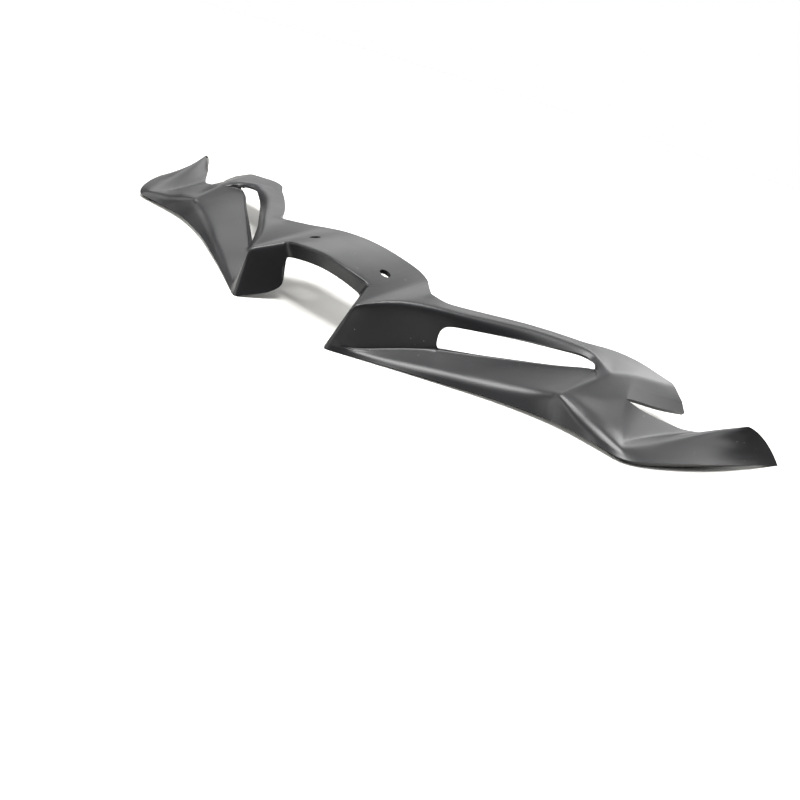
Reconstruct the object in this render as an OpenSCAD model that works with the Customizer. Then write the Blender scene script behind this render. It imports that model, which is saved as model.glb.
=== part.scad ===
// One-piece moulded nose fairing with two side winglets, lying as it rests on a table.
// x runs across the bike, y from the nose to the wing tips, z up from the table.

/* [Overall size] */
// distance between the two wing tips
span = 447.2; // [400:0.2:500]
// from the nose tips to the wing tips
reach = 150.5; // [130:0.5:170]
// height of the middle plate over the table
crown = 37.9; // [32:0.1:44]
// thickness of the moulded wall
wall = 2.2; // [1.6:0.1:2.6]

/* [Screw holes] */
// distance between the two screw holes
hole_spacing = 50; // [40:1:60]
// diameter of each screw hole
hole_d = 6; // [4:0.1:8]

/* [Folds] */
// run of the rounded fold from the plate into the walls
shoulder_fold = 4; // [3:0.1:5]
// run of the hollow fold between recess wall and floor
floor_fold = 2.5; // [1:0.1:4]
// run of the hollow folds around the winglet root
root_fold = 3; // [2:0.1:7]
// how much rounder the ridge in front of the winglet is than the rim
ridge_swell = 0.9; // [0:0.1:1.2]
// run of the raised fold along rim, ridge and winglet
rim_fold = 3.2; // [2.8:0.1:4]

/* [Side slots] */
// share of the recess wall left standing above the slot
slot_top = 0.38; // [0.3:0.01:0.5]
// length of the slanted front end of the slot
slot_lean = 6.4; // [2:0.1:9]
// length of the rounded rear end of the slot
slot_rear = 8; // [2:0.1:10]

/* [Hidden] */

// The skin is a net. Stations run along it from the middle (0) to the wing tip (18), and at
// each station the section passes the lines below. Each line is a list of [station, point].
rear_edge = [[0, [0, 21.5, 37.9]], [1, [10, 21.7, 37.5]], [2, [19, 22.2, 36.4]], [3, [27, 23.2, 34.9]],
    [3.5, [31.5, 22.6, 34.1]], [4, [37, 20.2, 33.2]], [5, [43.5, 13.5, 32.6]], [6, [51.3, 5, 32.6]],
    [7, [59.5, 8.4, 30.7]], [8, [70.5, 23.4, 29]], [9, [87, 41.2, 28.3]], [10, [101.7, 55.8, 27]],
    [11, [113.3, 67, 25.4]], [12, [124, 78.6, 24.5]], [13, [132.6, 84.1, 23.7]],
    [14, [140.8, 86.6, 22.8]], [15, [152, 87.4, 21.2]], [16, [160, 87.6, 20.1]]];
shoulder = [[0, [0, -23.2, 35.4]], [1, [9.5, -23, 34.6]], [2, [19, -22.4, 33.2]],
    [3, [28.6, -18.6, 30.4]], [3.2, [29.3, -20.6, 29.8]], [3.3, [29.6, -21.5, 29.6]],
    [3.4, [30.1, -22.9, 29.2]], [4, [36.9, -38.8, 24.5]], [5, [41.9, -27.8, 27.3]],
    [6, [49.2, -17.5, 29.5]], [7, [61, -5, 30.3]], [8, [75.5, 11.8, 30]], [9, [93.5, 33.3, 29.6]],
    [10, [109.5, 47.4, 28.6]], [11, [123, 54.8, 26.9]], [12, [140.4, 47.8, 23.4]],
    [13, [143.5, 54.7, 23.3]], [14, [147, 62.7, 22.8]], [15, [155, 75, 21.1]],
    [16, [162.3, 86.6, 19.4]]];
floor_line = [[5, [41.2, -38.3, 3.6]], [6, [53.4, -19.1, 6.2]], [7, [66, -4.6, 9.4]],
    [8, [82, 9.2, 11.7]], [9, [99, 23.5, 14.3]], [10, [116, 37.4, 17.1]], [11, [130, 48.5, 20.3]]];
rim = [[5, [41.2, -39.5, 2.3]], [6, [58.5, -27.3, 3.2]], [7, [74, -17.9, 4.5]], [8, [88, -9.8, 5.9]],
    [9, [103, -0.3, 7.6]], [10, [118.5, 7.9, 10.3]], [11, [127.5, 10.8, 12.8]],
    [12, [133.2, 11.4, 14.4]], [13, [146, 9, 9.5]], [14, [158.6, 11.8, 7.7]], [15, [171.4, 11.5, 5.6]],
    [16, [180, 31.7, 8.2]], [17, [192.8, 62.7, 14.6]], [18, [204.6, 85.5, 18.6]]];
bottom = [[0, [0, -18.9, 26.2]], [1, [8.5, -18.2, 25.5]], [2, [17, -17.8, 24.2]],
    [3, [25.2, -17.8, 22.6]], [3.2, [25.9, -19.8, 22.1]], [3.3, [22.3, -21.5, 9.7]],
    [3.4, [22.2, -23.3, 7]], [4, [31.7, -47, 0]], [5, [42, -40.6, 0.3]], [6, [60.5, -29, 0.8]],
    [7, [76, -19.9, 1.1]], [8, [90.5, -11.8, 1.5]], [9, [106, -3.4, 1.8]], [10, [122, 3, 2.1]],
    [11, [131, 5.7, 2.2]], [12, [137.5, 7.2, 2.3]], [13, [149, 8.2, 2.3]], [14, [162, 7.9, 2.3]],
    [15, [176.2, 8.6, 2.3]], [16, [188.8, 22.2, 3.8]], [17, [207, 55.5, 4.2]], [18, [223.6, 104.1, 0]]];
// Behind the crest the section also passes the valley under the prong, which parts at station
// 14 into the prong's lower edge and the channel's edge, and the root of the winglet.
prong_edge = [[12, [134.6, 18.7, 16.3]], [13, [145.5, 29.5, 14.7]], [14, [153.6, 45.7, 15.7]],
    [14.2, [155, 49.4, 15.4]], [15, [164, 63.2, 12.5]], [16, [174.6, 79.4, 11.1]]];
channel_edge = [[14, [153.6, 45.7, 15.7]], [14.2, [157.6, 45.5, 14.9]], [15, [166.5, 51.7, 11.7]],
    [16, [173.8, 61.2, 8.9]], [17, [182.2, 67.8, 7.4]], [18, [197.4, 83.9, 9.6]]];
root = [[12, [133.9, 15.1, 15.3]], [13, [147.6, 16.2, 12.6]], [14, [159.4, 25.5, 9.5]],
    [15, [168, 19.8, 5.6]], [16, [173, 36.8, 6]], [17, [183, 63.8, 7]], [18, [199.6, 84.6, 12]]];
// rounded rear end of the prong's side face
prong_end = [170.1, 82.5, 15.2];
// rounded rear end of the winglet's outer face
wing_end = [[209.7, 91.7, 15.7], [214.7, 98.3, 10.6], [219.3, 103.1, 4.9]];

parting = 14;      // the prong and the winglet part here
slot = [7.15, 11.23];
drawn = [447.2, 150.5, 37.9];    // the size that the lines are drawn at
net_scale = [span / drawn[0], reach / drawn[1], crown / drawn[2]];
hole_row = -1.3 * net_scale[1];  // the screw holes' place along the plate

function mix(a, b, t) = a + (b - a) * t;
function clamp(v, low, high) = min(max(v, low), high);
function last(list) = list[len(list) - 1];
function hump(t) = t <= 0 || t >= 1 ? 0 : sin(180 * t);

// A smooth curve through a line's points, with a sharp bend at the listed stations.
function span_of(line, u, i = 0) = i >= len(line) - 2 || u < line[i + 1][0] ? i : span_of(line, u, i + 1);
function chord(line, i) = (line[i + 1][1] - line[i][1]) / (line[i + 1][0] - line[i][0]);
function is_bend(bends, s) = len([for (b = bends) if (abs(b - s) < 1e-6) b]) > 0;
function heading(line, bends, j, side) =
    j == 0 ? (line[0][0] == 0 ? [chord(line, 0)[0], 0, 0] : chord(line, 0))
    : j == len(line) - 1 ? chord(line, j - 1)
    : is_bend(bends, line[j][0]) ? chord(line, side < 0 ? j - 1 : j)
    : let (before = line[j][0] - line[j - 1][0], after = line[j + 1][0] - line[j][0])
        (chord(line, j - 1) * after + chord(line, j) * before) / (before + after);
function on_line(line, bends, u) =
    let (i = span_of(line, u), h = line[i + 1][0] - line[i][0], t = (u - line[i][0]) / h,
        a = heading(line, bends, i, 1) * h, b = heading(line, bends, i + 1, -1) * h)
    (2 * t^3 - 3 * t^2 + 1) * line[i][1] + (t^3 - 2 * t^2 + t) * a
        + (3 * t^2 - 2 * t^3) * line[i + 1][1] + (t^3 - t^2) * b;

// In front of the crest the floor is plain, and on the nose the skirt is one flat wall.
skirt_share = [0.70, 0.76, 0.82, 0.88];
function skirt(u, k) = mix(at_shoulder(u), at_bottom(u), skirt_share[k]);
function front_start(k) = [for (s = [3.9, 4]) [s, skirt(s, k)]];
crest_floor = mix(on_line(shoulder, [], 12), on_line(rim, [], 12), 0.3);    // where floor and crest meet
floor_keys = concat(front_start(0), floor_line, [[12, crest_floor]]);
rim_keys = concat(front_start(3), rim);
function at_shoulder(u) = on_line(shoulder, [3, 4, 12], u);
function at_bottom(u) = on_line(bottom, [3, 3.2, 4], u);
function at_rim(u) = u <= 4 ? skirt(u, 3) : on_line(rim_keys, [4, 12, 15], u);
function at_floor(u) = u <= 4 ? skirt(u, 0) : on_line(floor_keys, [4, 12], u);
function at_valley(u, part) =
    u <= 4 ? skirt(u, 1) : u < 12 ? mix(at_floor(u), at_rim(u), mix(0.33, 0.73, max(0, u - 11)))
    : u > parting && part == "wing" ? on_line(channel_edge, [14], u) : on_line(prong_edge, [14], u);
function at_root(u) =
    u <= 4 ? skirt(u, 2) : u < 12 ? mix(at_floor(u), at_rim(u), mix(0.67, 0.86, max(0, u - 11)))
    : on_line(root, [15], u);
function at_side(u) =    // middle of the prong's side face
    u < 12 ? at_floor(u)
    : let (t = clamp(u - 15, 0, 1))
        u < 13 ? mix(crest_floor, mix(at_shoulder(13), at_valley(13), 0.5), (u - 12))
        : mix(mix(at_shoulder(u), at_valley(u, "prong"), 0.5), prong_end, t * t);

// The slot takes the wall away between two shares of its height, closing in at its round ends.
function closing(d, run, rise) = d < run ? rise * (1 - sqrt(1 - (1 - d / run)^2)) : 0;
function slot_shares(u) =
    u < slot[0] || u > slot[1] ? [slot_top, 0.97]
    : let (p = at_side(u), h = 0.97 - slot_top, front = norm(p - at_side(slot[0])),
        rear = norm(p - at_side(slot[1])))
    [slot_top + max(closing(front, slot_lean, 0.7 * h), closing(rear, slot_rear, 0.6 * h)),
        0.97 - max(closing(front, 1.5, 0.15 * h), closing(rear, 2.5, 0.3 * h))];

// Rounded corner of a section, and plain steps between two points without the ends.
function fold(a, p, b, run, steps, before = 0.45, after = 0.45) =
    let (r = min(run, before * norm(a - p), after * norm(b - p)),
        start = p + (a - p) / norm(a - p) * r, end = p + (b - p) / norm(b - p) * r)
    [for (i = [0:steps]) let (t = i / steps) (1 - t)^2 * start + 2 * t * (1 - t) * p + t^2 * end];
function steps_between(a, b, n) = n < 2 ? [] : [for (i = [1:n - 1]) mix(a, b, i / n)];

plate_steps = 2;
function upper_rows(u, part) =    // rear edge, plate, shoulder and wall, down to the valley
    let (a = on_line(rear_edge, [6], u), b = at_shoulder(u), c = at_side(u), s = at_valley(u, part),
        crease = fold(a, b, c, shoulder_fold, 4, 0.45, 0.3), shares = slot_shares(u),
        top = mix(b, c, shares[0]), low = mix(b, c, shares[1]),
        corner = fold(low, c, s, floor_fold, 2, 0.9))
    concat([a], steps_between(a, crease[0], plate_steps), crease, [top, low], corner);
function lower_rows(u, part) =    // root, raised rim, outer face and bottom edge
    let (s = at_valley(u, part), r = at_root(u), d = at_rim(u), e = at_bottom(u),
        t = u > 17 ? (u - 17)^2 : 0,
        face = [for (i = [0:2]) mix(mix(d, e, 0.55 + 0.15 * i), wing_end[i], t)],
        hollow = fold(s, r, d, root_fold, 2), ridge = 1 + ridge_swell * hump((u - 12.1) / 2.7))
    concat(hollow, fold(r, d, face[0], rim_fold * ridge, 3, 0.45, 0.9), face, [e]);
function plain_section(u, part) =
    let (s = at_valley(u, part))
    part == "body" ?
        let (up = upper_rows(u, part), low = lower_rows(u, part), c = at_side(u), r = at_root(u))
        concat(up, fold(c, s, r, root_fold * clamp((parting - u) * 2, 0, 1), 2), low)
    : part == "prong" ? let (up = upper_rows(u, part)) concat(up, [mix(last(up), s, 0.5), s])
    : let (low = lower_rows(u, part)) concat([s, mix(s, low[0], 0.5)], low);

// Round the bends that cross the net: [station, how far before, how far after].
crossings = [[3, 0.35, 0.2], [4, 0.1, 0.24], [12, 0.2, 0.25]];
function section(u, part) =
    let (near = [for (c = crossings) if (u > c[0] - c[1] && u < c[0] + c[2]) c])
    len(near) == 0 ? plain_section(u, part)
    : let (c = near[0], t = (u - c[0] + c[1]) / (c[1] + c[2]),
        p = plain_section(c[0] - c[1], part), q = plain_section(c[0], part),
        r = plain_section(c[0] + c[2], part))
    [for (i = [0:len(p) - 1]) (1 - t)^2 * p[i] + 2 * t * (1 - t) * q[i] + t^2 * r[i]];

body_at = [0, 0.5, 1, 1.5, 2, 2.35, 2.65, 2.79, 2.925, 3.06, 3.2, 3.3, 3.4, 3.6, 3.8, 3.9, 3.985, 4.07,
    4.155, 4.24, 4.6, 5, 5.5, 6, 6.5, 7, 7.15, 7.18, 7.23, 7.31, 7.46, 7.7, 8, 8.5, 9, 9.5, 10, 10.4, 10.7,
    10.95, 11.1, 11.19, 11.23, 11.5, 11.8, 11.91, 12.02, 12.14, 12.25, 12.6, 13, 13.5, 14];
prong_at = [14.07, 14.2, 14.6, 15, 15.5, 16];
wing_at = [14.07, 14.2, 14.6, 14.85, 15, 15.15, 15.5, 16, 16.5, 17, 17.5, 18];

// Outer and inner point for every place of the net, the inner one set in by the wall.
function on_table(p) = [p[0], p[1], max(p[2], 0)];
function cross_unit(a, b) = let (n = cross(a, b)) n / max(norm(n), 1e-9);
function thick_section(u, part, first, end) =
    let (h = 0.02, here = section(u, part), n = len(here),
        back = u - h < first ? here : section(u - h, part),
        ahead = u + h > end ? here : section(u + h, part))
    [for (j = [0:n - 1]) let (down = here[min(j + 1, n - 1)] - here[max(j - 1, 0)],
        out = cross_unit(down, ahead[j] - back[j])) each [here[j], on_table(here[j] - out * wall)]];

body_net = [for (u = body_at) thick_section(u, "body", 0, 14)];
prong_net = [for (u = prong_at) thick_section(u, "prong", 14, 16)];
wing_net = [for (u = wing_at) thick_section(u, "wing", 14, 18)];
rows = len(body_net[0]) / 2;
prong_rows = len(prong_net[0]) / 2;
wing_rows = len(wing_net[0]) / 2;
split_row = prong_rows - 1;
body_points = [for (c = body_net) each c];
prong_points = [for (c = prong_net) each c];
wing_points = [for (c = wing_net) each c];
half_points = concat(body_points, prong_points, wing_points);

// Number of a point: part, column, row and side (0 outer, 1 inner).
body_end = len(body_at) - 1;
function id(part, c, r, side) =
    part == "body" ? 2 * (c * rows + r) + side
    : c == 0 ? 2 * (body_end * rows + r + (part == "wing" ? split_row : 0)) + side
    : part == "prong" ? len(body_points) + 2 * ((c - 1) * prong_rows + r) + side
    : len(body_points) + len(prong_points) + 2 * ((c - 1) * wing_rows + r) + side;

slot_rows = 1 + plate_steps - 1 + 5;    // the cells between these rows are the slot
function is_open(c, r) = r == slot_rows && body_at[c] >= slot[0] - 1e-6 && body_at[c + 1] <= slot[1] + 1e-6;
function present(part, c, r) =
    let (columns = part == "body" ? body_end : part == "prong" ? len(prong_at) : len(wing_at),
        count = part == "body" ? rows : part == "prong" ? prong_rows : wing_rows)
    c >= 0 && c < columns && r >= 0 && r < count - 1 && !(part == "body" && is_open(c, r));
function quad(a, b, c, d) = [[a, b, c], [a, c, d]];
// Outer and inner faces of one cell of the net, and the wall's cut edges around it.
function cell_faces(part, c, r) =
    let (a = id(part, c, r, 0), b = id(part, c + 1, r, 0), d = id(part, c + 1, r + 1, 0),
        e = id(part, c, r + 1, 0), seam = part == "body" && c == body_end - 1)
    concat(quad(a, b, d, e), quad(e + 1, d + 1, b + 1, a + 1),
        present(part, c, r - 1) ? [] : quad(a + 1, b + 1, b, a),
        present(part, c, r + 1) ? [] : quad(e, d, d + 1, e + 1),
        present(part, c + 1, r) || seam ? [] : quad(b, b + 1, d + 1, d),
        present(part, c - 1, r) || c == 0 ? [] : quad(a + 1, a, e, e + 1));
function net_faces(part, columns, count) =
    [for (c = [0:columns - 1], r = [0:count - 2]) if (present(part, c, r)) each cell_faces(part, c, r)];
half_faces = concat(net_faces("body", body_end, rows), net_faces("prong", len(prong_at), prong_rows),
    net_faces("wing", len(wing_at), wing_rows));

// The left half mirrors the right one and shares its middle column.
middle = 2 * rows;
function left_id(i) = i < middle ? i : i + len(half_points) - middle;
function mirrored(p) = [-p[0], p[1], p[2]];
all_points = concat(half_points, [for (i = [middle:len(half_points) - 1]) mirrored(half_points[i])]);
all_faces = concat(half_faces, [for (f = half_faces) [left_id(f[2]), left_id(f[1]), left_id(f[0])]]);

// The origin is under the middle of the part.
depths = [for (p = all_points) p[1]];
mid_depth = (min(depths) + max(depths)) / 2 * net_scale[1];

module skin() {
    scale(net_scale) polyhedron(points = all_points, faces = all_faces, convexity = 8);
}

module fairing_shell() {
    color([0.09, 0.09, 0.095]) translate([0, -mid_depth, 0]) difference() {
        skin();
        for (x = [-1, 1] * hole_spacing / 2)
            translate([x, hole_row, crown - 15]) cylinder(h = 24, d = hole_d, $fn = 64);
    }
}

fairing_shell();
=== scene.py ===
import bpy
import bmesh
import math
from mathutils import Matrix, Vector
from mathutils.geometry import intersect_point_line


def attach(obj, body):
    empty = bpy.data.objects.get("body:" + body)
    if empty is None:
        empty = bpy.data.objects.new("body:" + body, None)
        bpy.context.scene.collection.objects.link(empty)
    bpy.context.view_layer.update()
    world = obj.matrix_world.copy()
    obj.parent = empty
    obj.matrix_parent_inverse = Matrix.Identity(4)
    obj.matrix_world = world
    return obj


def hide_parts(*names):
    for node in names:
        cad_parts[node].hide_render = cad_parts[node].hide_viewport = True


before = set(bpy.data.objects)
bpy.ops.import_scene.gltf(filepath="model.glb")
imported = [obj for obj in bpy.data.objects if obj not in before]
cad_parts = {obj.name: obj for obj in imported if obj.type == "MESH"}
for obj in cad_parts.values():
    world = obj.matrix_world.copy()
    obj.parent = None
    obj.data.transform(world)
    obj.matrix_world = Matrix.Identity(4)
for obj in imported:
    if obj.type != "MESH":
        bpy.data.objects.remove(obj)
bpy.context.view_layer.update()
print("frame loaded")


def fromHex(code):  # sRGB hex to the linear values the shader wants
    parts = [int(code[i:i + 2], 16) / 255 for i in (1, 3, 5)]
    return [c / 12.92 if c <= 0.04045 else ((c + 0.055) / 1.055) ** 2.4 for c in parts] + [1]


def addNode(tree, kind, settings=None, inputs=None, links=None):
    node = tree.nodes.new(kind)
    for name, value in (settings or {}).items():
        setattr(node, name, value)
    for name, value in (inputs or {}).items():
        node.inputs[name].default_value = value
    for name, source in (links or {}).items():
        tree.links.new(source, node.inputs[name])
    return node


def newMaterial(name):
    material = bpy.data.materials.new(name)
    material.use_nodes = True
    tree = material.node_tree
    tree.nodes.clear()
    return material, tree


shell = {
    "weld": 0.00002,        # corners closer than this are one
    "foldAngle": 40,        # degrees, edges turning more than this stay sharp
    "roundingLevels": 1,    # how often the skin is divided to round its folds
    # the fold that the moulding blends out, from the prong gap's inner end to the winglet root
    "softFoldStart": (0.1536, 0.0164, 0.0157),
    "softFoldEnd": (0.1625, 0.0000, 0.0098),
    "softFoldReach": 0.0065,    # m, how far from the fold the skin is smoothed
    "softFoldShares": (-0.2, 1.2),  # how far past the fold's ends, as shares of its length
    "softFoldRepeats": 6,
}


def isNearFold(corner, start, end):
    nearest, share = intersect_point_line(corner, start, end)
    first, last = shell["softFoldShares"]
    return (corner - nearest).length < shell["softFoldReach"] and first < share < last


def softenFold(bm, side, turn):  # side is 1 for the right half and -1 for the left one
    start, end = (Vector((side * x, y, z)) for x, y, z in (shell["softFoldStart"], shell["softFoldEnd"]))
    near = [v for v in bm.verts if isNearFold(v.co, start, end)
            and all(e.calc_face_angle(0) < turn for e in v.link_edges)]
    for repeat in range(shell["softFoldRepeats"]):
        bmesh.ops.smooth_vert(bm, verts=near, factor=0.5,
                              use_axis_x=True, use_axis_y=True, use_axis_z=True)


def buildShell():
    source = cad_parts["fairing_shell"]
    mesh = bpy.data.meshes.new("mouldedShell")
    bm = bmesh.new()
    bm.from_mesh(source.data)
    bmesh.ops.remove_doubles(bm, verts=bm.verts, dist=shell["weld"])
    turn = math.radians(shell["foldAngle"])
    bmesh.ops.join_triangles(bm, faces=bm.faces, angle_face_threshold=turn, angle_shape_threshold=turn)
    softenFold(bm, 1, turn)
    softenFold(bm, -1, turn)
    crease = bm.edges.layers.float.new("crease_edge")   # keeps the wall's cut edges sharp
    for face in bm.faces:
        face.smooth = True
    for edge in bm.edges:
        if len(edge.link_faces) == 2 and edge.calc_face_angle() > turn:
            edge.smooth = False
            edge[crease] = 1.0
    bm.to_mesh(mesh)
    bm.free()
    piece = bpy.data.objects.new("moulded_shell", mesh)
    bpy.context.scene.collection.objects.link(piece)
    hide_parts("fairing_shell")
    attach(piece, "root")
    rounding = piece.modifiers.new("rounding", "SUBSURF")
    rounding.levels = rounding.render_levels = shell["roundingLevels"]
    return piece


# black ABS, injection moulded against a fine spark-eroded tool: near black, satin, with broad soft
# highlights, a faint grain and a few specks of dust from lying about
blackAbs = {
    "colour": "#161618",
    "roughness": 0.38,
    "roughnessSpread": 0.03,    # how much duller or glossier a patch is
    "glossPatch": 35,       # mm, size of the patches where the moulding cooled a little duller
    "ior": 1.42,            # ABS has 1.53, lowered because the camera-side walls read darker
    "grainSize": 0.7,       # mm, coarser than the real 0.1 mm so that it shows
    "grainStrength": 0.15,
    "grainDepth": 0.2,      # mm, at full strength
    "dustColour": "#8f8e89",
    "dustSpacing": 2.5,     # mm between places where a speck may lie
    "dustSize": 0.35,       # mm across, coarser than real dust so that it shows
    "dustShare": 0.12,      # how many of the places hold one
}


def makeBlackAbs():
    material, tree = newMaterial("satin moulded black ABS")
    place = addNode(tree, "ShaderNodeTexCoord").outputs["Object"]
    grain = addNode(tree, "ShaderNodeTexNoise", None,
                    {"Scale": 1000 / blackAbs["grainSize"], "Detail": 3.0, "Roughness": 0.6},
                    {"Vector": place})
    bump = addNode(tree, "ShaderNodeBump", None,
                   {"Strength": blackAbs["grainStrength"], "Distance": blackAbs["grainDepth"] / 1000},
                   {"Height": grain.outputs["Fac"]})
    patches = addNode(tree, "ShaderNodeTexNoise", None,
                      {"Scale": 1000 / blackAbs["glossPatch"], "Detail": 2.0}, {"Vector": place})
    gloss = addNode(tree, "ShaderNodeMapRange", None,
                    {"From Min": 0.3, "From Max": 0.7,   # where the noise's values lie
                     "To Min": blackAbs["roughness"] - blackAbs["roughnessSpread"],
                     "To Max": blackAbs["roughness"] + blackAbs["roughnessSpread"]},
                    {"Value": patches.outputs["Fac"]})
    specks = addNode(tree, "ShaderNodeTexVoronoi", None,
                     {"Scale": 1000 / blackAbs["dustSpacing"]}, {"Vector": place})
    small = addNode(tree, "ShaderNodeMath", {"operation": "LESS_THAN"},
                    {1: blackAbs["dustSize"] / 2 / blackAbs["dustSpacing"]}, {0: specks.outputs["Distance"]})
    # each place has its own random colour, and its red decides whether a speck lies there
    chosen = addNode(tree, "ShaderNodeSeparateColor", None, None, {"Color": specks.outputs["Color"]})
    kept = addNode(tree, "ShaderNodeMath", {"operation": "LESS_THAN"}, {1: blackAbs["dustShare"]},
                   {0: chosen.outputs["Red"]})
    dust = addNode(tree, "ShaderNodeMath", {"operation": "MULTIPLY"}, None,
                   {0: small.outputs["Value"], 1: kept.outputs["Value"]})
    colour = addNode(tree, "ShaderNodeMixRGB", None,
                     {"Color1": fromHex(blackAbs["colour"]), "Color2": fromHex(blackAbs["dustColour"])},
                     {"Fac": dust.outputs["Value"]})
    surface = addNode(tree, "ShaderNodeBsdfPrincipled", None, {"IOR": blackAbs["ior"]},
                      {"Base Color": colour.outputs["Color"], "Roughness": gloss.outputs["Result"],
                       "Normal": bump.outputs["Normal"]})
    addNode(tree, "ShaderNodeOutputMaterial", None, None, {"Surface": surface.outputs["BSDF"]})
    return material


mouldedShell = buildShell()
mouldedShell.data.materials.append(makeBlackAbs())
print("shell made")


studio = {
    "floorRadius": 1.35,
    "floorColour": "#dcdbd7",
    "floorRoughness": 0.9,
    "floorGloss": 0.1,
    "skyStrength": 1.0,     # what shows behind the floor
    "fillStrength": 0.06,   # what the sky adds to the light
    # camera: place, its right and up directions in the part's frame, lens and sensor in mm
    "cameraPlace": (0.3007, -0.44535, 0.18438),
    "cameraRight": (0.762, 0.5876, 0.2727),
    "cameraUp": (-0.45, 0.1777, 0.8752),
    "lens": 45.0,
    "sensor": 36.0,
    "nearest": 0.01,        # m, nothing closer to the camera is drawn
    # soft boxes, all turned to the part: name, place, width, depth, power in watts
    "softBoxes": [
        ("backLeftSoftBox", (-1.1, 1.4, 1.0), 1.8, 1.4, 18),
        ("backRightSoftBox", (0.25, 1.75, 0.9), 1.3, 1.0, 22),
        ("topSoftBox", (0.0, -0.05, 2.0), 1.0, 1.0, 78),
        ("sideSoftBox", (0.95, 1.0, 1.45), 0.8, 0.8, 7),
        ("frontSoftBox", (-0.65, -1.7, 0.85), 1.8, 1.0, 26),
        ("leftSoftBox", (-1.5, -0.4, 1.15), 1.2, 1.0, 14),
    ],
}


def makeFloor():
    bm = bmesh.new()
    bmesh.ops.create_circle(bm, cap_ends=True, segments=128, radius=studio["floorRadius"])
    floorMesh = bpy.data.meshes.new("floor")
    bm.to_mesh(floorMesh)
    bm.free()
    floor = bpy.data.objects.new("floor", floorMesh)
    bpy.context.scene.collection.objects.link(floor)
    material, tree = newMaterial("matt white paper")
    paper = addNode(tree, "ShaderNodeBsdfPrincipled", None,
                    {"Base Color": fromHex(studio["floorColour"]), "Roughness": studio["floorRoughness"],
                     "Specular IOR Level": studio["floorGloss"]})
    addNode(tree, "ShaderNodeOutputMaterial", None, None, {"Surface": paper.outputs["BSDF"]})
    floorMesh.materials.append(material)


def makeSky():
    world = bpy.data.worlds.new("studio")
    world.use_nodes = True
    sky = world.node_tree
    seen = addNode(sky, "ShaderNodeLightPath")  # white behind the part, yet little light from it
    strength = addNode(sky, "ShaderNodeMix", {"data_type": "FLOAT"},
                       {"A": studio["fillStrength"], "B": studio["skyStrength"]},
                       {"Factor": seen.outputs["Is Camera Ray"]})
    sky.nodes["Background"].inputs["Color"].default_value = (1, 1, 1, 1)
    sky.links.new(strength.outputs["Result"], sky.nodes["Background"].inputs["Strength"])
    bpy.context.scene.world = world
    bpy.context.scene.view_settings.view_transform = "Standard"


def placeLights():
    for name, place, width, depth, power in studio["softBoxes"]:
        light = bpy.data.lights.new(name, "AREA")
        light.shape = "RECTANGLE"
        light.size, light.size_y, light.energy = width, depth, power
        lamp = bpy.data.objects.new(name, light)
        turn = Vector(place).to_track_quat("Z", "Y").to_matrix().to_4x4()
        lamp.matrix_world = Matrix.Translation(place) @ turn
        bpy.context.scene.collection.objects.link(lamp)


def placeCamera():
    camera = bpy.data.objects.new("camera", bpy.data.cameras.new("camera"))
    right = Vector(studio["cameraRight"]).normalized()
    up = Vector(studio["cameraUp"]).normalized()
    up = (up - right * up.dot(right)).normalized()
    turn = Matrix((right, up, right.cross(up))).transposed().to_4x4()
    camera.matrix_world = Matrix.Translation(studio["cameraPlace"]) @ turn
    camera.data.lens = studio["lens"]
    camera.data.sensor_width = studio["sensor"]
    camera.data.clip_start = studio["nearest"]
    bpy.context.scene.collection.objects.link(camera)
    bpy.context.scene.camera = camera


makeFloor()
makeSky()
placeLights()
placeCamera()
print("studio and camera set")
